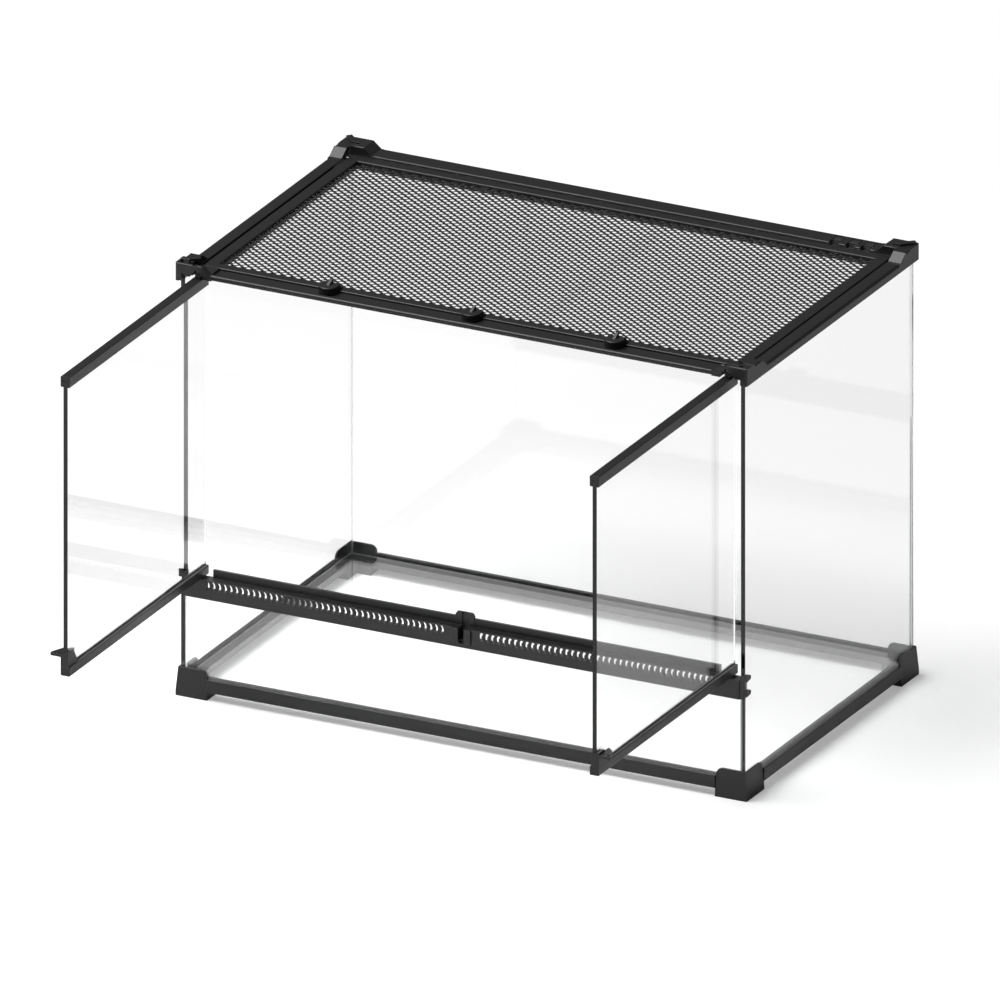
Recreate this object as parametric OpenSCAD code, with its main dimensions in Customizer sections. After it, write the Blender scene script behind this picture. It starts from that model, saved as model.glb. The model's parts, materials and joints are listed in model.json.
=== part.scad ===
// Glass reptile terrarium with twin front doors, a lift-up mesh lid and moulded top and base frames.
// The origin is the centre of the footprint on the floor: +X right, +Y back, +Z up.

/* [Overall] */
// Outer width over the moulded frames
body_w = 608; // [500:1:900]
// Outer depth over the moulded frames
body_d = 366; // [300:1:500]
// Height to the top of the side and rear rails
rail_top = 434.2; // [380:0.1:600]
// Height to the top of the raised stacking corners
corner_top = 441.2; // [390:0.1:610]

/* [Glass] */
// Width over the outer faces of the side panes
glass_w = 600; // [490:1:892]
// Depth from the front edge to the back face of the panes
glass_d = 356; // [290:1:490]
// Thickness of the fixed panes and the doors
glass_t = 4.5; // [4:0.1:6]
// Width of the silicone joint between panes
seam_w = 0.6; // [0.4:0.1:1]

/* [Base] */
// Height of the rails' underside above the floor
base_z0 = 8; // [5:0.5:12]
// Height of the rails' top edge
base_z1 = 21.4; // [20:0.1:30]
// Height of the corner feet
foot_h = 29; // [26:0.5:40]
// Length of a foot along the front and back
foot_x = 34; // [28:1:50]
// Length of a foot along the sides
foot_y = 38; // [30:1:50]
// Outward flare of a foot from its top to the floor
foot_flare = 2.3; // [0:0.1:3]

/* [Vent strip] */
// Height of the strip's lower edge
strip_z0 = 102.6; // [80:0.1:140]
// Height of the ledge under the doors
ledge_z = 122.8; // [100:0.1:160]
// Height of the stop lip behind the doors
lip_z = 131; // [110:0.1:170]
// Number of crescent slots on each side
slot_count = 42; // [10:1:42]
// Distance between neighbouring slots
slot_pitch = 6.07; // [5.5:0.01:6.07]

/* [Doors] */
// Height of the doors' lower edge
door_z0 = 123.1; // [100:0.1:161]
// Height of the doors' upper edge
door_z1 = 429.6; // [380:0.1:590]
// Thickness of the door rails
door_t = 9.9; // [8:0.1:12]
// Distance from the pivot axis to the door's hinge end
hinge_back = 13.2; // [10:0.1:16]
// Radius of the steel pivot pins
pin_r = 1.5; // [1:0.1:2]
// Radial clearance of a pin in its bore
pin_gap = 0.05; // [0.02:0.01:0.1]

/* [Lid] */
// Half width of the mesh opening
mesh_x = 275; // [200:1:275]
// Half depth of the mesh opening
mesh_y = 145.3; // [100:0.1:145.3]
// Height of the lid's top face
lid_top = 433.8; // [380:0.1:600]
// Distance between the lid latches
latch_pitch = 152; // [100:1:200]

/* [Hidden] */
$fn = 48;

bw = body_w / 2;
bd = body_d / 2;
gw = glass_w / 2;
gd = glass_d / 2;
// inner faces of the fixed panes
gx = gw - glass_t;
gy = gd - glass_t;
// clearance of a pane in its moulded channel
fit = 0.2;

glass_z0 = base_z0 + 3.2;
glass_z1 = rail_top - 4.8;
floor_z0 = 15;
floor_z1 = floor_z0 + glass_t;
foot_leg = 19;
low_glass_z1 = strip_z0 + 3;

// vent strip, from the front face to the back of the lip
strip_y0 = -bd + 1.2;
strip_wall = 2;
strip_back = -gd - 0.1;
lip_y0 = -bd + 9.8;
lip_y1 = lip_y0 + 2.8;
web_z = strip_z0 + 8.2;
slot_h = 9;
slot_z = strip_z0 + 14.6;
slot_mid = 21;

// door pivot, and the door's faces measured from the pivot axis
pivot_x = gw - 18.4;
pivot_y = -bd + 3.6;
door_out = 4.7;
door_in = door_out - door_t;
door_free = pivot_x - 0.8;
door_glass_v = (door_out + door_in) / 2;
low_rail_h = 9.2;
top_rail_h = 10.8;
door_glass_z0 = door_z0 + 4.5;
door_glass_z1 = door_z1 - 3.6;
stub_r = 2.6;
stub_top = door_z1 + 6.4;
pin_top = door_z1 + 8.9;

// top frame; the ramps of the corners climb from the rails to the stacking faces
top_z0 = 425;
plate_z0 = rail_top - 3.2;
corner_x = 38;
corner_y = 43;
step_w = 13.3;
front_leg = 8;
arm_x = 27.4;
ramp_x = 8.4;
ramp_y = 10.7;
front_flat = 32.2;
back_flat = 29;
rail_in = 289.7;
rear_face = 162;
shelf_back = -157.2;
shelf_z0 = rail_top - 4.3;
shelf_top = rail_top - 2.3;
bead_top = rail_top + 1.7;
bead_w = 5.5;
key_top = corner_top + 2.2;

// lid
lid_x = 287.6;
lid_y0 = -156.7;
lid_y1 = 157.2;
lid_z0 = lid_top - 3.8;
rim_z0 = 425.4;
rim_t = 3;
mesh_z0 = rim_z0 + 4.8;
mesh_t = 0.8;
hinge_y = 152.5;
hinge_z = lid_top - 1.9;
latch_w = 9.4;
latch_y = lid_y0 - 4.3;
latch_back = lid_y0 + 3.7;
tongue_w = 8.5;
stem_w = 5;
inlet_x = [223, 240.5, 256];

plastic = "#2b2b2c";
glass_tint = [0.82, 0.9, 0.88, 0.35];
steel = "#9a9a98";

// ---- helpers ----

module span(a, b) {
    translate(a) cube([b[0] - a[0], b[1] - a[1], b[2] - a[2]]);
}

// keeps a shape on the right for s = 1 and mirrors it to the left for s = -1
module side(s) {
    if (s > 0) children();
    else mirror([1, 0, 0]) children();
}

// a profile drawn in Y and Z, run along X
module along_x(x0, x1) {
    translate([x0, 0, 0]) rotate([90, 0, 90]) linear_extrude(x1 - x0) children();
}

// a profile drawn in X and Z, run along Y
module along_y(y0, y1) {
    translate([0, y1, 0]) rotate([90, 0, 0]) linear_extrude(y1 - y0) children();
}

module rect(x0, y0, x1, y1) {
    translate([x0, y0]) square([x1 - x0, y1 - y0]);
}

// the sliver outside a rounded corner at (x, y), for a corner that points towards (sx, sy)
module corner_sliver(x, y, r, sx, sy) {
    difference() {
        rect(min(x, x - sx * r), min(y, y - sy * r), max(x, x - sx * r) + (sx > 0 ? 1 : 0),
             max(y, y - sy * r) + (sy > 0 ? 1 : 0));
        translate([x - sx * r, y - sy * r]) circle(r);
    }
}

// ---- panes ----

module pane(a, b) {
    color(glass_tint) span(a, b);
}

module side_glass(s) {
    side(s) pane([gx, -gd, glass_z0], [gw, gd, glass_z1]);
}

module silicone_seams() {
    in_x = gx - seam_w;
    in_y = gy - seam_w;
    color("#c9ccca", 0.5) {
        for (s = [-1, 1]) side(s) {
            span([in_x, gy, floor_z0], [gx, gd, glass_z1]);
            span([in_x, -gd, floor_z0], [gx, -gy, low_glass_z1]);
            span([in_x, -in_y, floor_z0], [gx, in_y, floor_z1]);
        }
        for (y0 = [-gy, in_y]) span([-in_x, y0, floor_z0], [in_x, y0 + seam_w, floor_z1]);
    }
}

// ---- base frame ----

// base section for the side at +u, drawn in u and Z: outer wall, floor flange and pane channel
module base_section(outer, pane_out, pane_in) {
    difference() {
        union() {
            rect(pane_out + fit, base_z0, outer, base_z1);
            rect(pane_in - 9, base_z0, outer, glass_z0);
            rect(pane_in - 9, base_z0, pane_in - fit, floor_z0);
        }
        corner_sliver(outer, base_z1, 1.2, 1, 1);
        corner_sliver(outer, base_z0, 1, 1, -1);
    }
}

module base_rail_y(s) {
    color(plastic) mirror([0, s < 0 ? 1 : 0, 0]) along_x(-bw + foot_x, bw - foot_x)
        base_section(bd, gd, gy);
}

module base_rail_x(s) {
    color(plastic) side(s) along_y(-bd + foot_y, bd - foot_y) base_section(bw, gw, gx);
}

// flared outline of a foot seen along one side; it reaches from the inner end to the outer face
module foot_outline(inner, outer) {
    polygon([[inner, 0], [outer, 0], [outer - foot_flare, foot_h], [inner + 6, foot_h],
        [inner + 3, foot_h - 1.2], [inner + 1, foot_h - 4], [inner + 0.6, foot_h - 7]]);
}

module foot(sx, sy) {
    color(plastic) side(sx) mirror([0, sy < 0 ? 1 : 0, 0]) difference() {
        intersection() {
            along_y(bd - foot_y, bd) foot_outline(bw - foot_x, bw);
            along_x(bw - foot_x, bw) foot_outline(bd - foot_y, bd);
            linear_extrude(foot_h) difference() {
                rect(bw - foot_x, bd - foot_y, bw, bd);
                rect(bw - foot_x - 1, bd - foot_y - 1, bw - foot_leg, bd - foot_leg);
                corner_sliver(bw, bd, 1.5, 1, 1);
            }
        }
        span([0, 0, floor_z0], [gw + fit, gd + fit, foot_h + 1]);
        span([gx - fit, 0, glass_z0], [gw + fit, gd + fit, foot_h]);
        span([0, gy - fit, glass_z0], [gw + fit, gd + fit, foot_h]);
    }
}

// ---- vent strip ----

// crescent slot that bulges towards +x, centred on the origin
module crescent() {
    bulge = 1.9;
    width = 2.5;
    steps = 6;
    outer = [for (i = [0:steps]) let (t = -1 + 2 * i / steps)
        [width / 2 - bulge / 2 + bulge * (1 - t * t), t * slot_h / 2]];
    inner = [for (i = [steps:-1:0]) let (t = -1 + 2 * i / steps)
        [-width / 2 - bulge / 2 + bulge * (1 - t * t), t * (slot_h / 2 - 0.8)]];
    polygon(concat(outer, inner));
}

module vent_strip() {
    end_block = slot_mid + slot_pitch * (slot_count - 1) + 5;
    half = gx - 0.2;
    color(plastic) difference() {
        union() {
            along_x(-half, half) difference() {
                union() {
                    rect(strip_y0, strip_z0, strip_y0 + strip_wall, ledge_z);
                    rect(strip_y0, strip_z0, strip_back, web_z);
                    rect(strip_y0, ledge_z - 2, lip_y1, ledge_z);
                    rect(strip_back - 0.1, low_glass_z1 + 0.3, lip_y1, web_z);
                    rect(-gy + fit, strip_z0, lip_y1, web_z);
                }
                corner_sliver(strip_y0, ledge_z, 0.3, -1, 1);
                corner_sliver(strip_y0, strip_z0, 1, -1, -1);
            }
            span([-door_swing_x(), lip_y0, ledge_z - 1], [door_swing_x(), lip_y1, lip_z]);
            for (s = [-1, 1]) side(s) {
                span([end_block, strip_y0 + 1, web_z - 1], [half, strip_back, ledge_z - 1]);
                span([end_block, strip_back - 1, low_glass_z1 + 0.3], [half, lip_y1, ledge_z - 1]);
            }
        }
        for (s = [-1, 1], i = [0:slot_count - 1])
            side(s) translate([slot_mid + i * slot_pitch, strip_y0 + strip_wall + 0.1, slot_z])
                rotate([90, 0, 0]) linear_extrude(strip_wall + 0.4) mirror([1, 0]) crescent();
        for (s = [-1, 1]) side(s) translate([pivot_x, pivot_y, ledge_z - 9.1])
            cylinder(h = 10, r = pin_r + pin_gap);
        span([-10.3, strip_y0 - 1, web_z - 3.5], [10.3, lip_y1 - 1, lip_z + 1]);
    }
}

// the stop lips end where the doors' hinge corners sweep past
function door_swing_x() =
    pivot_x - sqrt(pow(hinge_back, 2) + pow(door_in, 2) - pow(lip_y0 - pivot_y, 2)) - 0.6;

// centre post: both doors close against its upper part, and a channel runs down its front
module door_catch() {
    post = 10.1;
    slot = 3.1;
    front = -bd - 0.3;
    stop_y = lip_y0 - 0.5;
    post_top = lip_z + 5.4;
    color(plastic) difference() {
        union() {
            along_x(-post, post) polygon([[front, web_z - 3.2], [-gd - 0.1, web_z - 3.2],
                [-gd - 0.1, web_z - 1.9], [lip_y1 - 1.2, web_z - 1.9], [lip_y1 - 1.2, post_top],
                [stop_y, post_top], [stop_y, ledge_z], [front, ledge_z - 0.4]]);
            along_x(-slot, slot) rect(front, web_z - 4.5, -bd + 1, web_z - 3);
        }
        span([-slot, front - 1, web_z - 0.1], [slot, lip_y0 + 1, post_top + 1]);
        translate([0, front - 1, web_z - 0.1]) rotate([-90, 0, 0])
            cylinder(h = 4, r = slot);
        for (s = [-1, 1]) side(s) along_y(front - 1, lip_y1) corner_cut(post, post_top, 2.2);
    }
}

// triangle cut off a top corner at (x, z)
module corner_cut(x, z, c) {
    polygon([[x - c, z + 0.1], [x + 0.1, z + 0.1], [x + 0.1, z - c * 1.4]]);
}

// moulded clip that ties the strip to a side pane's front edge
module strip_clip(s) {
    front = strip_y0 + 0.4;
    back = -gd + 5;
    lug_h = 8;
    color(plastic) side(s) {
        span([gx + 0.5, front, strip_z0 + 1], [gw + 0.5, -gd - 0.1, ledge_z + 4]);
        for (z = [strip_z0 + 4, ledge_z - 1])
            along_x(gw + 0.1, gw + 3.6)
                polygon([[front, z], [back, z + 1], [back, z + lug_h - 3], [front, z + lug_h]]);
    }
}

// ---- top frame ----

// side rail section in X and Z: top plate, outer skirt, inner skirt and lid ledge
module side_rail_section() {
    difference() {
        union() {
            rect(rail_in, plate_z0 - 1.2, bw, rail_top);
            rect(gw + fit, top_z0, bw, rail_top);
            rect(gx - 2.6, top_z0 + 1, gx - fit, rail_top - 3);
            rect(gx - 11, lid_z0 - 3.4, gx - fit, lid_z0 - 0.4);
        }
        corner_sliver(bw, rail_top, 3, 1, 1);
        corner_sliver(rail_in, rail_top, 0.8, -1, 1);
    }
}

module top_rail_side(s) {
    color(plastic) side(s) difference() {
        along_y(-bd + corner_y, bd - corner_y) side_rail_section();
        span([lid_x - 10, hinge_y - 20, lid_z0 - 4], [gx - 2.6, hinge_y, lid_z0 + 1]);
    }
}

// front rail: a thin shelf with a raised round bead along its front edge
module top_rail_front() {
    hook = shelf_back - 3;
    under = shelf_back - 7;
    color(plastic) difference() {
        along_x(-bw + corner_x, bw - corner_x) difference() {
            union() {
                rect(-bd + 3.3, shelf_z0, shelf_back, shelf_top);
                rect(-bd, shelf_top - 0.5, -bd + bead_w, bead_top);
                rect(lip_y0, shelf_z0 - 2.1, lip_y1, shelf_z0 + 1);
                rect(hook, lid_z0 - 3.6, shelf_back, shelf_z0 + 1);
                rect(hook, lid_z0 - 3.6, shelf_back + 6, lid_z0 - 0.4);
            }
            corner_sliver(-bd, bead_top, 2.2, -1, 1);
            corner_sliver(-bd + bead_w, bead_top, 1.2, 1, 1);
            corner_sliver(-bd, shelf_top - 0.5, 0.6, -1, -1);
        }
        for (i = [-1:1]) translate([i * latch_pitch, 0, 0]) {
            span([-latch_w - 0.6, under, lid_z0 - 4], [latch_w + 0.6, shelf_back + 7, shelf_z0]);
            span([-stem_w - 0.6, shelf_back - 4.8, shelf_z0 - 1], [stem_w + 0.6, shelf_back + 1, rail_top]);
        }
    }
}

module top_rail_back() {
    color(plastic) difference() {
        along_x(-bw + corner_x, bw - corner_x) difference() {
            union() {
                rect(rear_face, plate_z0 - 0.8, bd, rail_top);
                rect(gd + fit, top_z0, bd, rail_top);
                rect(gy - 3.4, top_z0, gy - fit, rail_top - 3);
            }
            corner_sliver(bd, rail_top, 1.1, 1, 1);
            corner_sliver(rear_face, rail_top, 1.5, -1, 1);
        }
        for (x = inlet_x) translate([x, 0, 0]) {
            span([-4.2, rear_face - 1, plate_z0 - 2], [4.2, rear_face + 6.6, rail_top + 1]);
            span([-5.4, rear_face - 1, rail_top - 1.5], [5.4, bd - 2, rail_top + 1]);
        }
    }
}

// one arm of a corner from its far end: the rail's height, a ramp and the stacking face
module arm_profile(far, end, flat, ramp, low, top) {
    polygon([[far, plate_z0 - 0.8], [end, plate_z0 - 0.8], [end, top], [end - flat, top],
        [end - flat - ramp, low], [far, low]]);
}

// raised L-shaped stacking block on a corner
module corner_block(depth, flat_y, face) {
    along_y(bd - depth, bd) arm_profile(bw - corner_x, bw, arm_x, ramp_x, rail_top, corner_top);
    difference() {
        along_x(bw - step_w, bw) arm_profile(bd - corner_y, bd, flat_y, ramp_y, rail_top, corner_top);
        along_y(face, bd + 1) corner_sliver(bw, corner_top, 1.6, 1, 1);
    }
}

// bar across a corner's stacking face that locates a second tank's foot
module stacking_key(plan) {
    translate([0, 0, plate_z0]) linear_extrude(key_top - plate_z0) polygon(plan);
}

module rounded_corner_plan() {
    translate([0, 0, top_z0 - 1]) linear_extrude(key_top - top_z0 + 2) difference() {
        rect(0, 0, bw, bd);
        corner_sliver(bw, bd, 2, 1, 1);
    }
}

module pane_channel() {
    span([gx - fit, 0, top_z0 - 1], [gw + fit, gd + fit, glass_z1 + 0.4]);
    span([0, gy - fit, top_z0 - 1], [gw + fit, gd + fit, glass_z1 + 0.4]);
}

module top_corner_back(s) {
    inner = bw - step_w;
    round_in = 5;
    color(plastic) side(s) difference() {
        intersection() {
            union() {
                difference() {
                    corner_block(bd - rear_face, back_flat, bd - back_flat);
                    along_x(bw - arm_x, inner) corner_sliver(rear_face, corner_top, 1.2, -1, 1);
                }
                translate([0, 0, plate_z0 - 0.8]) linear_extrude(corner_top - plate_z0 + 0.8) difference() {
                    rect(inner - round_in, rear_face - round_in, inner, rear_face);
                    translate([inner - round_in, rear_face - round_in]) circle(round_in);
                }
                stacking_key([[bw - 20.7, bd - 16.5], [bw - 12.3, bd - 16.5], [bw - 0.6, bd - 4.8],
                    [bw - 4.8, bd - 0.6], [bw - 8.6, bd - 4.4]]);
                span([gw + fit, bd - corner_y, top_z0], [bw, bd, rail_top]);
                span([bw - corner_x, gd + fit, top_z0], [bw, bd, rail_top]);
                span([bw - corner_x, gy - 3.4, top_z0], [gx - fit, gy - fit, rail_top - 3]);
                span([inner, hinge_y - 5, hinge_z - 4], [gx - fit, hinge_y + 5, hinge_z]);
                span([lid_x + 0.6, bd - corner_y, lid_z0 - 3.4], [gx - fit, rear_face + 1, lid_z0 - 0.4]);
                span([inner + 0.2, bd - corner_y, lid_z0 - 1], [gx - fit, rear_face + 1, plate_z0]);
            }
            rounded_corner_plan();
        }
        pane_channel();
        translate([lid_x - 1, hinge_y, hinge_z]) rotate([0, 90, 0])
            cylinder(h = 7.4, r = pin_r + pin_gap);
    }
}

// drawn as a back corner and mirrored to the front; the door's stub turns in the open socket
module top_corner_front(s) {
    door_gap_z = door_z1 + 3.4;
    valley = [bd - 12.4, bd - 3.4];
    valley_z = corner_top - 2.4;
    lip_top = key_top - 0.2;
    plate_x = bw - 35;
    socket = 4.2;
    color(plastic) side(s) mirror([0, 1, 0]) difference() {
        intersection() {
            union() {
                difference() {
                    union() {
                        corner_block(front_leg, front_flat, bd - front_flat);
                        stacking_key([[bw - 18.1, bd - 19.4], [bw - 8.8, bd - 12.4], [bw, bd - 12.4],
                            [bw, bd - 17.4], [bw - 7.4, bd - 17.4], [bw - 15.4, bd - 23.4]]);
                    }
                    span([bw - corner_x - 1, bd - front_leg - 1, top_z0], [gw - 3, bd + 1, door_gap_z]);
                    span([pivot_x + socket, valley[0], valley_z], [bw + 1, valley[1], key_top + 1]);
                }
                span([bw - 2.6, bd - 14, plate_z0], [bw, bd - 1, lip_top]);
                along_x(bw - 9.3, bw) polygon([[bd - 13.4, plate_z0], [bd - 9.8, plate_z0],
                    [bd - 9.8, valley_z], [bd - 12.4, key_top], [bd - 13.4, key_top]]);
                difference() {
                    along_y(bd - 3.4, bd)
                        arm_profile(bw - corner_x, bw, arm_x, ramp_x + 0.4, bead_top, lip_top);
                    span([bw - corner_x - 1, bd - 4, top_z0], [bw + 1, bd + 1, door_gap_z]);
                    along_x(bw - corner_x - 1, bw + 1) corner_sliver(bd, lip_top, 1.4, 1, 1);
                }
                span([plate_x, -shelf_back, plate_z0], [bw, bd - front_leg + 0.5, rail_top]);
                span([bw - corner_x, -shelf_back, shelf_z0], [plate_x + 6, bd - 1, shelf_top]);
                along_x(bw - corner_x, plate_x + 6) difference() {
                    rect(bd - bead_w, shelf_top - 0.5, bd, bead_top);
                    corner_sliver(bd, bead_top, 2.2, 1, 1);
                    corner_sliver(bd - bead_w, bead_top, 1.2, -1, 1);
                    corner_sliver(bd, shelf_top - 0.5, 0.6, 1, -1);
                }
                span([rail_in, bd - corner_y, door_z1 + 0.5], [bw, bd - 2, rail_top]);
                span([gw + fit, bd - corner_y, top_z0], [bw, bd, rail_top]);
                span([gw - 3, gd + fit, top_z0 + 0.5], [bw, bd, rail_top]);
                span([gx - 11, bd - corner_y, lid_z0 - 3.4], [gx - fit, -shelf_back + 3, lid_z0 - 0.4]);
                span([gx - 11, -shelf_back, lid_z0 - 3.4], [gx - fit, -shelf_back + 3, plate_z0 + 1]);
            }
            rounded_corner_plan();
        }
        span([gx - fit, 0, top_z0 - 1], [gw + fit, gd + fit, glass_z1 + 0.4]);
        span([pivot_x - 3.4, -pivot_y, door_gap_z - 1], [pivot_x + 3.4, bd + 1, stub_top + 0.3]);
        span([pivot_x - 1, bd - front_leg, lip_top - 0.8], [pivot_x + socket, bd + 1, key_top + 1]);
        translate([pivot_x, -pivot_y, door_gap_z - 1])
            cylinder(h = stub_top + 1.3 - door_gap_z, r = stub_r + 0.3);
        translate([pivot_x, -pivot_y, door_gap_z - 1]) cylinder(h = 7, r = pin_r + pin_gap);
        span([pivot_x - 1.2, -pivot_y, door_gap_z - 1], [pivot_x + 1.2, bd + 1, pin_top + 0.5]);
    }
}

// ---- cable inlet shutters ----

// one slide plate with two thumb ribs, pulled back so that its notch is open
module inlet_shutter(x) {
    z0 = rail_top - 1.2;
    color(plastic) translate([x, 0, 0]) {
        span([-5, rear_face + 7.2, z0], [5, rear_face + 17.2, rail_top - 0.1]);
        for (y = [9, 11.6]) translate([0, rear_face + y, 0])
            span([-3.8, 0, rail_top - 0.2], [3.8, 0.9, rail_top + 0.7]);
    }
}

// ---- lid ----

module lid_frame() {
    color(plastic) difference() {
        union() {
            translate([0, 0, lid_z0]) linear_extrude(lid_top - lid_z0) difference() {
                rect(-lid_x, lid_y0, lid_x, lid_y1);
                rect(-mesh_x, -mesh_y, mesh_x, mesh_y);
            }
            translate([0, 0, rim_z0]) linear_extrude(lid_top - rim_z0) difference() {
                rect(-mesh_x - rim_t, -mesh_y - rim_t, mesh_x + rim_t, mesh_y + rim_t);
                rect(-mesh_x, -mesh_y, mesh_x, mesh_y);
            }
        }
        along_x(-lid_x - 1, lid_x + 1) {
            corner_sliver(lid_y0, lid_top, 1.2, -1, 1);
            corner_sliver(lid_y1, lid_top, 1, 1, 1);
        }
        for (s = [-1, 1]) side(s) along_y(lid_y0 - 1, lid_y1 + 1) corner_sliver(lid_x, lid_top, 0.8, 1, 1);
        for (s = [-1, 1]) side(s) along_y(-mesh_y, mesh_y) corner_sliver(mesh_x, lid_top, 1.3, -1, 1);
        for (m = [0, 1]) mirror([0, m, 0])
            along_x(-mesh_x, mesh_x) corner_sliver(mesh_y, lid_top, 1.3, -1, 1);
        span([-mesh_x - 1.5, -mesh_y - 1.5, mesh_z0], [mesh_x + 1.5, mesh_y + 1.5, mesh_z0 + mesh_t]);
        for (i = [-1:1]) translate([i * latch_pitch, 0, 0])
            span([-stem_w - 0.3, lid_y0 - 1, lid_z0 - 1], [stem_w + 0.3, latch_back, lid_top + 1]);
        for (s = [-1, 1]) side(s) translate([lid_x - 8, hinge_y, hinge_z]) rotate([0, 90, 0])
            cylinder(h = 9, r = pin_r);
    }
}

// expanded mesh, drawn as a coarse diamond lattice inside its plain edge
module lid_mesh() {
    edge_x = mesh_x + 1.4;
    edge_y = mesh_y + 1.4;
    columns = 16;
    rows = 12;
    cell_x = 2 * mesh_x / columns;
    cell_y = 2 * mesh_y / rows;
    hole = 0.87;
    color("#3a3a3a") translate([0, 0, mesh_z0]) linear_extrude(mesh_t) difference() {
        rect(-edge_x, -edge_y, edge_x, edge_y);
        translate([-mesh_x, -mesh_y]) {
            for (i = [1:columns], j = [1:rows])
                translate([(i - 0.5) * cell_x, (j - 0.5) * cell_y]) mesh_hole(cell_x * hole, cell_y * hole);
            for (i = [1:columns - 1], j = [1:rows - 1])
                translate([i * cell_x, j * cell_y]) mesh_hole(cell_x * hole, cell_y * hole);
        }
    }
}

module mesh_hole(w, d) {
    polygon([[w / 2, 0], [0, d / 2], [-w / 2, 0], [0, -d / 2]]);
}

module lid_hinge_pins() {
    color(steel) for (s = [-1, 1]) side(s) translate([lid_x - 8, hinge_y, hinge_z]) rotate([0, 90, 0])
        cylinder(h = 14, r = pin_r);
}

// sliding latch: a thumb pad with a round front over the shelf, a grip fin on top,
// and a stem that carries the tongue below the lid
module lid_latch(i) {
    pad_z0 = shelf_top + 0.3;
    pad_top = lid_top + 5.8;
    ease = 1.3;
    seat = lid_top + 0.25;
    color(plastic) translate([i * latch_pitch, 0, 0]) {
        difference() {
            union() {
                translate([0, latch_y, 0]) rotate_extrude() difference() {
                    rect(0, pad_z0, latch_w, pad_top);
                    corner_sliver(latch_w, pad_top, ease, 1, 1);
                }
                along_y(latch_y, latch_back) difference() {
                    rect(-latch_w, pad_z0, latch_w, pad_top);
                    corner_sliver(latch_w, pad_top, ease, 1, 1);
                    corner_sliver(-latch_w, pad_top, ease, -1, 1);
                }
            }
            span([-latch_w - 1, lid_y0 - 0.3, pad_z0 - 1], [latch_w + 1, latch_y + latch_w + 1, seat]);
            span([-latch_w - 1, latch_back, pad_z0 - 1], [latch_w + 1, latch_y + latch_w + 1, pad_top + 1]);
        }
        span([-latch_w, latch_back - 1, seat], [latch_w, lid_y0 + 8.2, lid_top + 1.5]);
        span([-stem_w, lid_y0 + 0.4, lid_z0 - 0.5], [stem_w, latch_back - 0.3, lid_top + 1]);
        span([-tongue_w, lid_y0 + 0.4, lid_z0 - 3], [tongue_w, lid_y0 + 7.7, lid_z0 - 0.4]);
        along_x(-1.5, 1.5) polygon([[latch_y - 2, pad_top - 0.2], [latch_back, pad_top - 0.2],
            [latch_back, pad_top + 3.8], [latch_back - 1.4, pad_top + 3.8]]);
    }
}

// ---- doors, drawn about the pivot axis with +u towards the free end and +v outwards ----

// places a right-hand door open at ninety degrees, with u along -Y and v along +X;
// the left one is its mirror image
module open_door(s) {
    side(s) translate([pivot_x, pivot_y, 0]) rotate([0, 0, -90]) children();
}

module door_glass(s) {
    color(glass_tint) open_door(s)
        span([-hinge_back + 0.6, door_glass_v - glass_t / 2, door_glass_z0],
             [door_free - 0.8, door_glass_v + glass_t / 2, door_glass_z1]);
}

module glass_groove(z0, z1) {
    span([-hinge_back + 0.5, door_glass_v - glass_t / 2 - 0.1, z0],
         [door_free - 0.7, door_glass_v + glass_t / 2 + 0.1, z1]);
}

// oval moulding recess in a rail's free end
module end_oval(z) {
    translate([door_free + 0.1, door_in + door_t / 2, z]) rotate([0, -90, 0]) linear_extrude(0.7)
        for (v = [-1.4, 1.4]) {
            translate([0, v]) circle(0.9);
            rect(-0.9, -1.4, 0.9, 1.4);
        }
}

// rail section in v and Z with its outer edges eased
module door_rail_block(z0, z1) {
    along_x(-hinge_back, door_free) difference() {
        rect(door_in, z0, door_out, z1);
        for (v = [[door_in, -1], [door_out, 1]]) {
            corner_sliver(v[0], z0, 0.8, v[1], -1);
            corner_sliver(v[0], z1, 0.8, v[1], 1);
        }
    }
}

module door_bottom_rail(s) {
    color(plastic) open_door(s) difference() {
        door_rail_block(door_z0, door_z0 + low_rail_h);
        glass_groove(door_glass_z0 - 0.1, door_z0 + low_rail_h + 1);
        translate([0, 0, door_z0 - 1]) cylinder(h = 5, r = pin_r);
        end_oval(door_z0 + 2.6);
    }
}

module door_top_rail(s) {
    color(plastic) open_door(s) difference() {
        union() {
            door_rail_block(door_z1 - top_rail_h, door_z1);
            translate([0, 0, door_z1 - 1]) cylinder(h = stub_top - door_z1 + 1, r = stub_r);
        }
        glass_groove(door_z1 - top_rail_h - 1, door_glass_z1 + 0.1);
        translate([0, 0, door_glass_z1 + 0.1]) cylinder(h = stub_top + 1 - door_glass_z1, r = pin_r);
        end_oval(door_z1 - 4.4);
    }
}

// cap round the free lower corner of the pane, with a finger tab that takes a padlock
module door_handle(s) {
    z0 = door_z0 + low_rail_h;
    cap_h = 14.2;
    cap_len = 11.8;
    tab = 11.4;
    color(plastic) open_door(s) difference() {
        union() {
            along_y(door_in + 1.8, door_out) polygon([[door_free, z0], [door_free, z0 + cap_h],
                [door_free - cap_len, z0 + cap_h], [door_free - cap_len - 9, z0]]);
            translate([door_free, door_out, z0 + 9.4]) linear_extrude(2.8) difference() {
                polygon([[0, -1], [0, tab - 1.2], [-1.2, tab], [-3, tab], [-17, 5.6], [-22, 0],
                    [-22, -1]]);
                for (v = [3.4, 7.6]) translate([-4.4, v]) circle(1.35);
            }
        }
        glass_groove(z0 - 1, z0 + cap_h + 1);
    }
}

module door_pin(s, z0, z1) {
    color(steel) open_door(s) translate([0, 0, z0]) cylinder(h = z1 - z0, r = pin_r);
}

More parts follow.
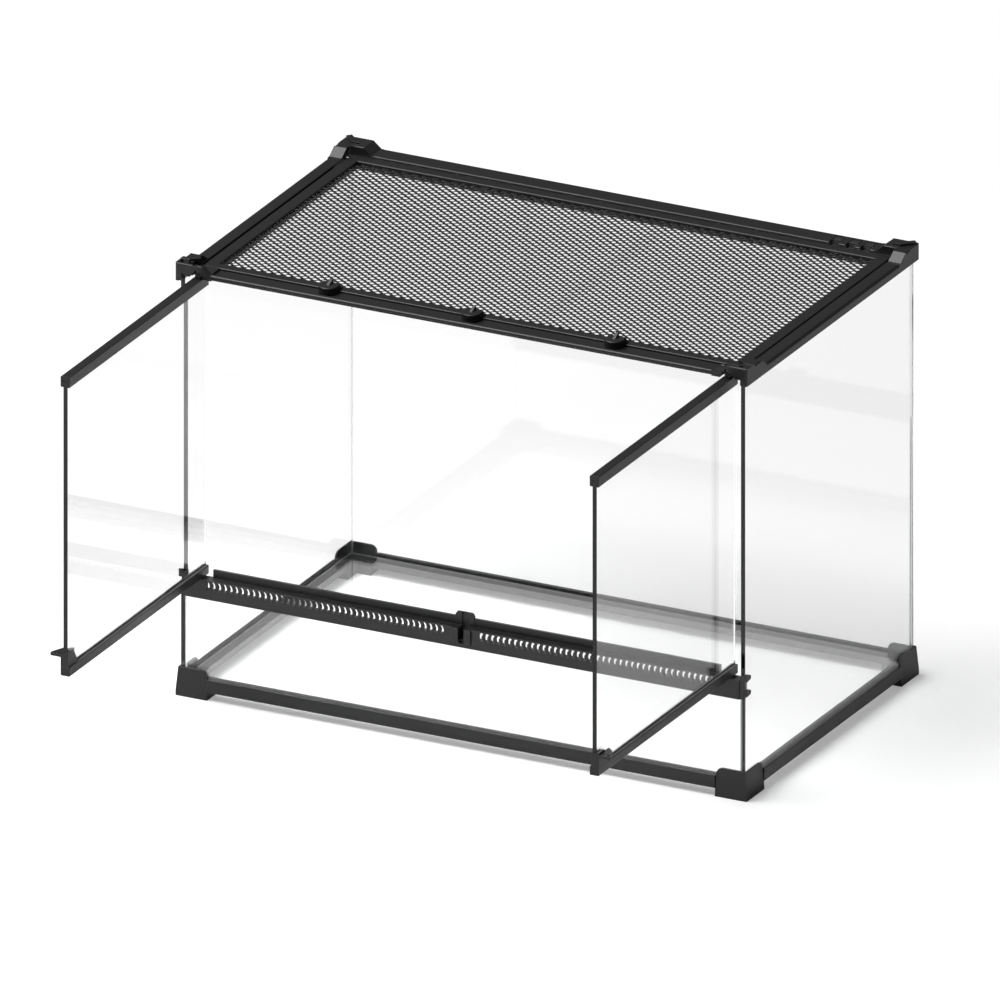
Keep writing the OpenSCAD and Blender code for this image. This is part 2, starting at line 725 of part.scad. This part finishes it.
pane([-gx + seam_w, -gy + seam_w, floor_z0], [gx - seam_w, gy - seam_w, floor_z1]);  // bottom_glass
side_glass(-1);  // left_side_glass
side_glass(1);  // right_side_glass
pane([-gx + seam_w, gy, glass_z0], [gx - seam_w, gd, glass_z1]);  // back_glass
pane([-gx + seam_w, -gd, glass_z0], [gx - seam_w, -gy, low_glass_z1]);  // front_low_glass
silicone_seams();
base_rail_y(-1);  // base_rail_front
base_rail_y(1);  // base_rail_back
base_rail_x(-1);  // base_rail_left
base_rail_x(1);  // base_rail_right
foot(-1, -1);  // foot_front_left
foot(1, -1);  // foot_front_right
foot(-1, 1);  // foot_back_left
foot(1, 1);  // foot_back_right
vent_strip();
door_catch();
strip_clip(-1);  // strip_clip_left
strip_clip(1);  // strip_clip_right
top_rail_front();
top_rail_back();
top_rail_side(-1);  // top_rail_left
top_rail_side(1);  // top_rail_right
top_corner_front(-1);  // top_corner_front_left
top_corner_front(1);  // top_corner_front_right
top_corner_back(-1);  // top_corner_back_left
top_corner_back(1);  // top_corner_back_right
lid_frame();
lid_mesh();
lid_hinge_pins();
lid_latch(-1);  // latch_left
lid_latch(0);  // latch_centre
lid_latch(1);  // latch_right
inlet_shutter(inlet_x[0]);  // inlet_shutter_1
inlet_shutter(inlet_x[1]);  // inlet_shutter_2
inlet_shutter(inlet_x[2]);  // inlet_shutter_3
door_glass(-1);  // left_door_glass
door_top_rail(-1);  // left_door_top_rail
door_bottom_rail(-1);  // left_door_bottom_rail
door_handle(-1);  // left_door_handle
door_pin(-1, door_glass_z1 + 0.1, pin_top);  // left_door_top_pin
door_pin(-1, ledge_z - 8.6, door_z0 + 4);  // left_door_bottom_pin
door_glass(1);  // right_door_glass
door_top_rail(1);  // right_door_top_rail
door_bottom_rail(1);  // right_door_bottom_rail
door_handle(1);  // right_door_handle
door_pin(1, door_glass_z1 + 0.1, pin_top);  // right_door_top_pin
door_pin(1, ledge_z - 8.6, door_z0 + 4);  // right_door_bottom_pin
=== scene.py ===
import json
import math

import bpy
from mathutils import Matrix, Vector


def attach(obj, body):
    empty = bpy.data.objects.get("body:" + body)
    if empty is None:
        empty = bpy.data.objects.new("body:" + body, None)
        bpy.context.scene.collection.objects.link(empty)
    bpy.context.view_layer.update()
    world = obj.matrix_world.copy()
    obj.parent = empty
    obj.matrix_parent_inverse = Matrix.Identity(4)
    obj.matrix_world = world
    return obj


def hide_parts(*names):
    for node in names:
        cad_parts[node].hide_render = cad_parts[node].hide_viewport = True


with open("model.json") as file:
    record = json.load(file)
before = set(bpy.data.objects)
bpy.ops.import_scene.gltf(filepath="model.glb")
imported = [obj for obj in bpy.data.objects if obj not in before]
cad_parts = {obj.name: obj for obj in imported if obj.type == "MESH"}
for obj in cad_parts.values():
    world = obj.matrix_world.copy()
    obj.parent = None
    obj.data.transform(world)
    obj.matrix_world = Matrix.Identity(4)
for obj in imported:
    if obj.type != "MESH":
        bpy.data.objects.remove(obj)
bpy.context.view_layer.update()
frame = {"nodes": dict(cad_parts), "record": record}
nodes = frame["nodes"]
scene = bpy.context.scene
print("frame loaded:", len(nodes), "nodes")


def linear(hexColour):
    # an sRGB hex colour as the linear colour the shaders want
    parts = [int(hexColour[i:i + 2], 16) / 255 for i in (1, 3, 5)]
    return [c / 12.92 if c <= 0.04045 else ((c + 0.055) / 1.055) ** 2.4 for c in parts] + [1.0]


def addNode(tree, kind, inputs=None, **settings):
    # one node, its settings, and its inputs as values or as sockets to link from
    node = tree.nodes.new(kind)
    for name, value in settings.items():
        setattr(node, name, value)
    for key, value in (inputs or {}).items():
        if isinstance(value, bpy.types.NodeSocket):
            tree.links.new(value, node.inputs[key])
        else:
            node.inputs[key].default_value = value
    return node


def newMaterial(name):
    material = bpy.data.materials.new(name)
    material.use_nodes = True
    material.node_tree.nodes.clear()
    return material, material.node_tree


def placeObject(name, mesh):
    obj = bpy.data.objects.new(name, mesh)
    scene.collection.objects.link(obj)
    return obj


# camera: a parallel view from the front right and above
cameraSettings = {
    "azimuth": 26.6838,       # degrees to the right of straight ahead
    "elevation": 21.9528,     # degrees above the floor
    "distance": 3.0,          # metres
    "pixelsPerMetre": 1052.4,
    "frameWidth": 1000,       # pixels
    "aimRight": -0.04488,     # metres in the picture, from a point above the footprint's middle
    "aimUp": -0.03363,
    "aimHeight": 0.225,       # how high that point is
    "clipNear": 0.1,
    "clipFar": 100.0,
}


def makeCamera(s):
    a, e = math.radians(s["azimuth"]), math.radians(s["elevation"])
    towards = Vector((math.sin(a) * math.cos(e), -math.cos(a) * math.cos(e), math.sin(e)))
    right = Vector((math.cos(a), math.sin(a), 0))
    up = towards.cross(right)
    aim = Vector((0, 0, s["aimHeight"])) + right * s["aimRight"] + up * s["aimUp"]
    data = bpy.data.cameras.new("camera")
    data.type = "ORTHO"
    data.ortho_scale = s["frameWidth"] / s["pixelsPerMetre"]
    data.clip_start = s["clipNear"]
    data.clip_end = s["clipFar"]
    camera = placeObject("camera", data)
    camera.location = aim + towards * s["distance"]
    camera.rotation_euler = towards.to_track_quat("Z", "Y").to_euler()
    scene.camera = camera


makeCamera(cameraSettings)
print("camera placed")


# studio: white paper floor, one large soft key overhead on the left, faint light from all round
studioSettings = {
    "floorSize": 14.0,
    "floorColour": "#F1F1F1",
    "floorLift": 0.30,        # what a direct look at the floor adds, so that it reads as white
    "glassLift": 0.13,        # the same for a look through glass, which shows the panes' faint grey
    "sweepFrom": 0.5,         # metres from the middle, between which the paper fades to pure white
    "sweepTo": 1.6,
    "keyDirection": (-0.40, -0.15, 0.90),
    "keyDistance": 4.6,
    "keyAimHeight": 0.2,
    "keySize": 3.2,
    "keyPower": 258.0,
    "surround": 0.10,         # what the pieces get from all round; a direct look shows pure white
}


def makeSweepPaper(s):
    # matt white paper: no gloss, soft shadows, and pure white further out
    material, tree = newMaterial("whiteSweepPaper")
    path = addNode(tree, "ShaderNodeLightPath")
    direct = addNode(tree, "ShaderNodeMath", {0: path.outputs["Is Camera Ray"],
                                              1: path.outputs["Is Transmission Ray"]},
                     operation="MAXIMUM")
    place = addNode(tree, "ShaderNodeTexCoord").outputs["Object"]
    far = addNode(tree, "ShaderNodeVectorMath", {0: place}, operation="LENGTH")
    sweep = addNode(tree, "ShaderNodeMapRange", {"Value": far.outputs["Value"],
                                                 "From Min": s["sweepFrom"], "From Max": s["sweepTo"]})
    fade = addNode(tree, "ShaderNodeMath", {0: direct.outputs[0], 1: sweep.outputs[0]},
                   operation="MULTIPLY")
    through = addNode(tree, "ShaderNodeMath", {0: path.outputs["Is Transmission Ray"],
                                               1: s["glassLift"]},
                      operation="MULTIPLY")
    lift = addNode(tree, "ShaderNodeMath", {0: path.outputs["Is Camera Ray"], 1: s["floorLift"],
                                            2: through.outputs[0]},
                   operation="MULTIPLY_ADD")
    paper = addNode(tree, "ShaderNodeBsdfDiffuse", {"Color": linear(s["floorColour"])})
    glow = addNode(tree, "ShaderNodeEmission", {"Color": (1, 1, 1, 1), "Strength": lift.outputs[0]})
    lit = addNode(tree, "ShaderNodeAddShader", {0: paper.outputs[0], 1: glow.outputs[0]})
    white = addNode(tree, "ShaderNodeEmission", {"Color": (1, 1, 1, 1), "Strength": 1.0})
    both = addNode(tree, "ShaderNodeMixShader", {0: fade.outputs[0], 1: lit.outputs[0],
                                                 2: white.outputs[0]})
    addNode(tree, "ShaderNodeOutputMaterial", {"Surface": both.outputs[0]})
    return material


def makeFloor(s):
    half = s["floorSize"] / 2
    corners = [(-half, -half, 0), (half, -half, 0), (half, half, 0), (-half, half, 0)]
    mesh = bpy.data.meshes.new("floor")
    mesh.from_pydata(corners, [], [(0, 1, 2, 3)])
    mesh.materials.append(makeSweepPaper(s))
    floor = placeObject("floor", mesh)


def makeKeyLight(s):
    data = bpy.data.lights.new("keyLight", "AREA")
    data.shape = "SQUARE"
    data.size = s["keySize"]
    data.energy = s["keyPower"]
    light = placeObject("keyLight", data)
    direction = Vector(s["keyDirection"]).normalized()
    light.location = direction * s["keyDistance"] + Vector((0, 0, s["keyAimHeight"]))
    light.rotation_euler = direction.to_track_quat("Z", "Y").to_euler()


def makeSurround(s):
    world = bpy.data.worlds.new("studio")
    world.use_nodes = True
    scene.world = world
    tree = world.node_tree
    tree.nodes.clear()
    path = addNode(tree, "ShaderNodeLightPath")
    direct = addNode(tree, "ShaderNodeMath", {0: path.outputs["Is Camera Ray"],
                                              1: path.outputs["Is Transmission Ray"]},
                     operation="MAXIMUM")
    strength = addNode(tree, "ShaderNodeMapRange", {"Value": direct.outputs[0],
                                                    "To Min": s["surround"], "To Max": 1.0})
    back = addNode(tree, "ShaderNodeBackground", {"Color": (1, 1, 1, 1),
                                                  "Strength": strength.outputs[0]})
    addNode(tree, "ShaderNodeOutputWorld", {"Surface": back.outputs[0]})


scene.view_settings.view_transform = "Standard"
makeFloor(studioSettings)
makeKeyLight(studioSettings)
makeSurround(studioSettings)
print("studio set")


plasticFinish = {
    "base": "#1F1F20",
    "worn": "#3A3A3B",
    "roughness": (0.37, 0.47),
    "specular": 0.5,
    "grainMm": 0.9,           # the real spark texture is about 0.2 mm, too fine to show
    "grainDepthMm": 0.012,
    "grainStrength": 0.4,
    "cloudMm": 60,            # size of the slightly darker and paler patches
    "cloudShade": 0.14,       # how much darker and paler they are
    "edgeRadiusMm": 0.7,
    "wearFrom": 0.99,         # cosines of the turn at a rounded edge where wear begins and is full
    "wearFull": 0.75,
}


def makeMouldedAbs(name, s):
    # injection-moulded ABS with a fine spark texture: near black, satin, edges rounded and a little paler
    material, tree = newMaterial(name)
    place = addNode(tree, "ShaderNodeTexCoord").outputs["Object"]
    grain = addNode(tree, "ShaderNodeTexNoise", {"Vector": place, "Scale": 1000 / s["grainMm"],
                                                 "Detail": 2.0})
    cloud = addNode(tree, "ShaderNodeTexNoise", {"Vector": place, "Scale": 1000 / s["cloudMm"],
                                                 "Detail": 3.0})
    rounded = addNode(tree, "ShaderNodeBevel", {"Radius": s["edgeRadiusMm"] / 1000}, samples=4)
    flat = addNode(tree, "ShaderNodeNewGeometry")
    facing = addNode(tree, "ShaderNodeVectorMath", {0: rounded.outputs[0],
                                                    1: flat.outputs["True Normal"]},
                     operation="DOT_PRODUCT")
    wear = addNode(tree, "ShaderNodeMapRange", {"Value": facing.outputs["Value"],
                                                "From Min": s["wearFrom"], "From Max": s["wearFull"]})
    patchy = addNode(tree, "ShaderNodeMath", {0: wear.outputs[0], 1: cloud.outputs["Fac"]},
                     operation="MULTIPLY")
    base = addNode(tree, "ShaderNodeMix", {"Factor": patchy.outputs[0], 6: linear(s["base"]),
                                           7: linear(s["worn"])},
                   data_type="RGBA")
    shade = addNode(tree, "ShaderNodeMapRange", {"Value": cloud.outputs["Fac"],
                                                 "To Min": 1 - s["cloudShade"],
                                                 "To Max": 1 + s["cloudShade"]})
    tinted = addNode(tree, "ShaderNodeVectorMath", {0: base.outputs[2], "Scale": shade.outputs[0]},
                     operation="SCALE")
    rough = addNode(tree, "ShaderNodeMapRange", {"Value": grain.outputs["Fac"],
                                                 "To Min": s["roughness"][0],
                                                 "To Max": s["roughness"][1]})
    bump = addNode(tree, "ShaderNodeBump", {"Height": grain.outputs["Fac"],
                                            "Strength": s["grainStrength"],
                                            "Distance": s["grainDepthMm"] / 1000,
                                            "Normal": rounded.outputs[0]})
    skin = addNode(tree, "ShaderNodeBsdfPrincipled", {"Base Color": tinted.outputs[0],
                                                      "Roughness": rough.outputs[0],
                                                      "Specular IOR Level": s["specular"],
                                                      "Normal": bump.outputs[0]})
    addNode(tree, "ShaderNodeOutputMaterial", {"Surface": skin.outputs[0]})
    return material


glassFinish = {
    "tint": "#FDFDFD",
    "shade": "#F6F7F7",       # what a lamp's light keeps on its way through
    "ior": 1.5,
    "smearMm": 45,            # size of the marks that wiping leaves
    "smearFrom": 0.55,        # noise levels at which a mark begins and is full
    "smearFull": 0.8,
    "smearRoughness": 0.006,
}


def makeFloatGlass(name, s):
    # clear float glass: no colour to speak of, only wiping marks, and lamps shine through it
    material, tree = newMaterial(name)
    place = addNode(tree, "ShaderNodeTexCoord").outputs["Object"]
    smear = addNode(tree, "ShaderNodeTexNoise", {"Vector": place, "Scale": 1000 / s["smearMm"],
                                                 "Detail": 4.0})
    rough = addNode(tree, "ShaderNodeMapRange", {"Value": smear.outputs["Fac"],
                                                 "From Min": s["smearFrom"],
                                                 "From Max": s["smearFull"],
                                                 "To Min": 0.0, "To Max": s["smearRoughness"]})
    glass = addNode(tree, "ShaderNodeBsdfPrincipled", {"Base Color": linear(s["tint"]),
                                                       "Roughness": rough.outputs[0],
                                                       "IOR": s["ior"],
                                                       "Transmission Weight": 1.0})
    path = addNode(tree, "ShaderNodeLightPath")
    clear = addNode(tree, "ShaderNodeBsdfTransparent", {"Color": linear(s["shade"])})
    both = addNode(tree, "ShaderNodeMixShader", {0: path.outputs["Is Shadow Ray"],
                                                 1: glass.outputs[0], 2: clear.outputs[0]})
    addNode(tree, "ShaderNodeOutputMaterial", {"Surface": both.outputs[0]})
    return material


siliconeFinish = {
    "clear": "#FAFBFA",
    "gloss": "#E4E8E7",
    "glossShare": 0.12,       # the rest lets light straight through
    "ior": 1.41,
    "roughness": (0.25, 0.45),
    "lumpMm": 6,              # how far apart the finger-smoothed lumps are
}


def makeSilicone(name, s):
    # cured clear silicone: soft, almost clear, low gloss, and lamps shine through it
    material, tree = newMaterial(name)
    place = addNode(tree, "ShaderNodeTexCoord").outputs["Object"]
    lumps = addNode(tree, "ShaderNodeTexNoise", {"Vector": place, "Scale": 1000 / s["lumpMm"],
                                                 "Detail": 2.0})
    rough = addNode(tree, "ShaderNodeMapRange", {"Value": lumps.outputs["Fac"],
                                                 "To Min": s["roughness"][0],
                                                 "To Max": s["roughness"][1]})
    gloss = addNode(tree, "ShaderNodeBsdfPrincipled", {"Base Color": linear(s["gloss"]),
                                                       "Roughness": rough.outputs[0],
                                                       "IOR": s["ior"]})
    clear = addNode(tree, "ShaderNodeBsdfTransparent", {"Color": linear(s["clear"])})
    bead = addNode(tree, "ShaderNodeMixShader", {0: s["glossShare"], 1: clear.outputs[0],
                                                 2: gloss.outputs[0]})
    addNode(tree, "ShaderNodeOutputMaterial", {"Surface": bead.outputs[0]})
    return material


coatFinish = {
    "dark": "#151515",
    "pale": "#222222",
    "roughness": (0.35, 0.55),
    "specular": 0.4,
    "patchMm": 2.5,           # how far apart the thicker and thinner patches of coat are
}


def makeCoatedSteel(name, s):
    # expanded steel sheet with a baked black coat: dark, satin, a little uneven
    material, tree = newMaterial(name)
    place = addNode(tree, "ShaderNodeTexCoord").outputs["Object"]
    coat = addNode(tree, "ShaderNodeTexNoise", {"Vector": place, "Scale": 1000 / s["patchMm"],
                                                "Detail": 2.0})
    rough = addNode(tree, "ShaderNodeMapRange", {"Value": coat.outputs["Fac"],
                                                 "To Min": s["roughness"][0],
                                                 "To Max": s["roughness"][1]})
    shade = addNode(tree, "ShaderNodeMix", {"Factor": coat.outputs["Fac"], 6: linear(s["dark"]),
                                            7: linear(s["pale"])},
                    data_type="RGBA")
    skin = addNode(tree, "ShaderNodeBsdfPrincipled", {"Base Color": shade.outputs[2],
                                                      "Roughness": rough.outputs[0],
                                                      "Specular IOR Level": s["specular"]})
    addNode(tree, "ShaderNodeOutputMaterial", {"Surface": skin.outputs[0]})
    return material


pinFinish = {
    "colour": "#B4B3B0",
    "roughness": (0.25, 0.42),
    "markMm": 0.4,            # how far apart the marks of the drawing die are
}


def makeDrawnSteel(name, s):
    # plain drawn steel wire, cut to pins: bright, with fine duller marks
    material, tree = newMaterial(name)
    place = addNode(tree, "ShaderNodeTexCoord").outputs["Object"]
    marks = addNode(tree, "ShaderNodeTexNoise", {"Vector": place, "Scale": 1000 / s["markMm"],
                                                 "Detail": 2.0})
    rough = addNode(tree, "ShaderNodeMapRange", {"Value": marks.outputs["Fac"],
                                                 "To Min": s["roughness"][0],
                                                 "To Max": s["roughness"][1]})
    wire = addNode(tree, "ShaderNodeBsdfPrincipled", {"Base Color": linear(s["colour"]),
                                                      "Roughness": rough.outputs[0],
                                                      "Metallic": 1.0})
    addNode(tree, "ShaderNodeOutputMaterial", {"Surface": wire.outputs[0]})
    return material


finishes = {
    "tank_glass": makeFloatGlass("floatGlass", glassFinish),
    "silicone": makeSilicone("clearSilicone", siliconeFinish),
    "black_plastic": makeMouldedAbs("mouldedAbs", plasticFinish),
    "mesh_wire": makeCoatedSteel("coatedSteel", coatFinish),
    "steel_pin": makeDrawnSteel("drawnSteel", pinFinish),
}


def dressNodes():
    for part in frame["record"]["subparts"]:
        mesh = nodes[part["node"]].data
        mesh.materials.clear()
        mesh.materials.append(finishes[part["material_slot"]])


dressNodes()
print("nodes dressed")


# the lid's mesh: steel sheet slit and stretched to strands between short bonds, in metres
lidMesh = {
    "columns": 104,           # half cells across the opening
    "rows": 77,               # half cells from front to back
    "strandWidth": 0.0019,
    "strandThickness": 0.0008,
    "strandTwist": -24.0,     # degrees that a strand is turned by the stretching
    "strandInset": 0.35,      # share of a bond's length by which a strand is shorter than its step
    "bondLength": 0.0030,
    "bondWidth": 0.0019,
    "bondSides": 6,
    "opening": (0.55, 0.2906),
    "edgeMargin": 0.0005,     # a bond this near the right, left or back edge starts no strand there
    "height": 0.4306,         # of the sheet's middle above the floor
}


def buildLidMeshTree(s):
    tree = bpy.data.node_groups.new("expandedSteel", "GeometryNodeTree")
    face = tree.interface
    face.new_socket("Geometry", in_out="OUTPUT", socket_type="NodeSocketGeometry")
    for name in ("Strand Width", "Strand Thickness", "Strand Twist", "Bond Length", "Bond Width",
                 "Opening Width", "Opening Depth"):
        face.new_socket(name, in_out="INPUT", socket_type="NodeSocketFloat")
    for name in ("Columns", "Rows"):
        face.new_socket(name, in_out="INPUT", socket_type="NodeSocketInt")
    face.new_socket("Material", in_out="INPUT", socket_type="NodeSocketMaterial")
    given = addNode(tree, "NodeGroupInput").outputs

    def calc(operation, *values):
        return addNode(tree, "ShaderNodeMath", dict(enumerate(values)), operation=operation).outputs[0]

    # bonds sit on every second crossing of a grid of half cells
    countX = calc("ADD", given["Columns"], 1.0)
    countY = calc("ADD", given["Rows"], 1.0)
    grid = addNode(tree, "GeometryNodeMeshGrid", {"Size X": given["Opening Width"],
                                                  "Size Y": given["Opening Depth"],
                                                  "Vertices X": countX, "Vertices Y": countY})
    index = addNode(tree, "GeometryNodeInputIndex").outputs[0]
    column = calc("FLOOR", calc("DIVIDE", calc("ADD", index, 0.5), countY))
    row = calc("SUBTRACT", index, calc("MULTIPLY", column, countY))
    odd = calc("GREATER_THAN", calc("FLOORED_MODULO", calc("ADD", column, row), 2.0), 0.5)
    stepX = calc("DIVIDE", given["Opening Width"], given["Columns"])
    stepY = calc("DIVIDE", given["Opening Depth"], given["Rows"])
    points = addNode(tree, "GeometryNodeMeshToPoints", {"Mesh": grid.outputs[0],
                                                        "Selection": calc("SUBTRACT", 1.0, odd)})
    position = addNode(tree, "GeometryNodeInputPosition").outputs[0]
    at = addNode(tree, "ShaderNodeSeparateXYZ", {0: position}).outputs

    # a bond is a flat six-sided plug, squeezed to its width
    bondRadius = calc("MULTIPLY", given["Bond Length"], 0.5)
    bond = addNode(tree, "GeometryNodeMeshCylinder", {"Vertices": s["bondSides"],
                                                      "Radius": bondRadius,
                                                      "Depth": given["Strand Thickness"]})
    narrow = calc("DIVIDE", given["Bond Width"], given["Bond Length"])
    squeeze = addNode(tree, "ShaderNodeCombineXYZ", {0: 1.0, 1: narrow, 2: 1.0})
    bondShape = addNode(tree, "GeometryNodeTransform", {"Geometry": bond.outputs[0],
                                                        "Scale": squeeze.outputs[0]})
    bonds = addNode(tree, "GeometryNodeInstanceOnPoints", {"Points": points.outputs[0],
                                                           "Instance": bondShape.outputs[0]})
    parts = [bonds.outputs[0]]

    # a strand runs from each bond to the next one behind it, on either side
    step = calc("SQRT", calc("ADD", calc("MULTIPLY", stepX, stepX), calc("MULTIPLY", stepY, stepY)))
    length = calc("SUBTRACT", step, calc("MULTIPLY", given["Bond Length"], s["strandInset"]))
    size = addNode(tree, "ShaderNodeCombineXYZ", {0: length, 1: given["Strand Width"],
                                                  2: given["Strand Thickness"]})
    bar = addNode(tree, "GeometryNodeMeshCube", {"Size": size.outputs[0]})
    lastX = calc("SUBTRACT", calc("MULTIPLY", given["Opening Width"], 0.5), s["edgeMargin"])
    lastY = calc("SUBTRACT", calc("MULTIPLY", given["Opening Depth"], 0.5), s["edgeMargin"])
    for side in (1.0, -1.0):
        twist = calc("MULTIPLY", calc("RADIANS", given["Strand Twist"]), side)
        twistAngles = addNode(tree, "ShaderNodeCombineXYZ", {0: twist})
        twisted = addNode(tree, "GeometryNodeTransform", {"Geometry": bar.outputs[0],
                                                          "Rotation": twistAngles.outputs[0]})
        turn = calc("MULTIPLY", calc("ARCTAN2", stepY, stepX), side)
        turnAngles = addNode(tree, "ShaderNodeCombineXYZ", {2: turn})
        halfStep = addNode(tree, "ShaderNodeCombineXYZ", {0: calc("MULTIPLY", stepX, 0.5 * side),
                                                          1: calc("MULTIPLY", stepY, 0.5)})
        turned = addNode(tree, "GeometryNodeTransform", {"Geometry": twisted.outputs[0],
                                                         "Rotation": turnAngles.outputs[0],
                                                         "Translation": halfStep.outputs[0]})
        inX = calc("LESS_THAN", calc("MULTIPLY", at[0], side), lastX)
        inY = calc("LESS_THAN", at[1], lastY)
        strands = addNode(tree, "GeometryNodeInstanceOnPoints", {"Points": points.outputs[0],
                                                                 "Selection": calc("MULTIPLY", inX, inY),
                                                                 "Instance": turned.outputs[0]})
        parts.append(strands.outputs[0])

    joined = addNode(tree, "GeometryNodeJoinGeometry")
    for part in reversed(parts):
        tree.links.new(part, joined.inputs[0])
    real = addNode(tree, "GeometryNodeRealizeInstances", {0: joined.outputs[0]})
    painted = addNode(tree, "GeometryNodeSetMaterial", {"Geometry": real.outputs[0],
                                                        "Material": given["Material"]})
    addNode(tree, "NodeGroupOutput", {0: painted.outputs[0]})
    return tree


def bakeTree(name, tree, values, place):
    # runs a node tree on an empty mesh and keeps the result as a plain mesh at its place
    carrier = placeObject(name + "Source", bpy.data.meshes.new(name + "Source"))
    modifier = carrier.modifiers.new("nodes", "NODES")
    modifier.node_group = tree
    for item in tree.interface.items_tree:
        if item.in_out == "INPUT" and item.name in values:
            modifier[item.identifier] = values[item.name]
    ready = carrier.evaluated_get(bpy.context.evaluated_depsgraph_get())
    mesh = bpy.data.meshes.new_from_object(ready)
    carrier.modifiers.remove(modifier)
    bpy.data.objects.remove(carrier)
    mesh.transform(place)
    return placeObject(name, mesh)


def makeLidMesh(s):
    values = {
        "Strand Width": s["strandWidth"],
        "Strand Thickness": s["strandThickness"],
        "Strand Twist": s["strandTwist"],
        "Bond Length": s["bondLength"],
        "Bond Width": s["bondWidth"],
        "Opening Width": s["opening"][0],
        "Opening Depth": s["opening"][1],
        "Columns": s["columns"],
        "Rows": s["rows"],
        "Material": finishes["mesh_wire"],
    }
    place = Matrix.Translation((0, 0, s["height"]))
    sheet = bakeTree("expandedMesh", buildLidMeshTree(s), values, place)
    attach(sheet, "lid")
    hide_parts("lid_mesh")
    print("lid mesh:", len(sheet.data.polygons), "faces")


makeLidMesh(lidMesh)
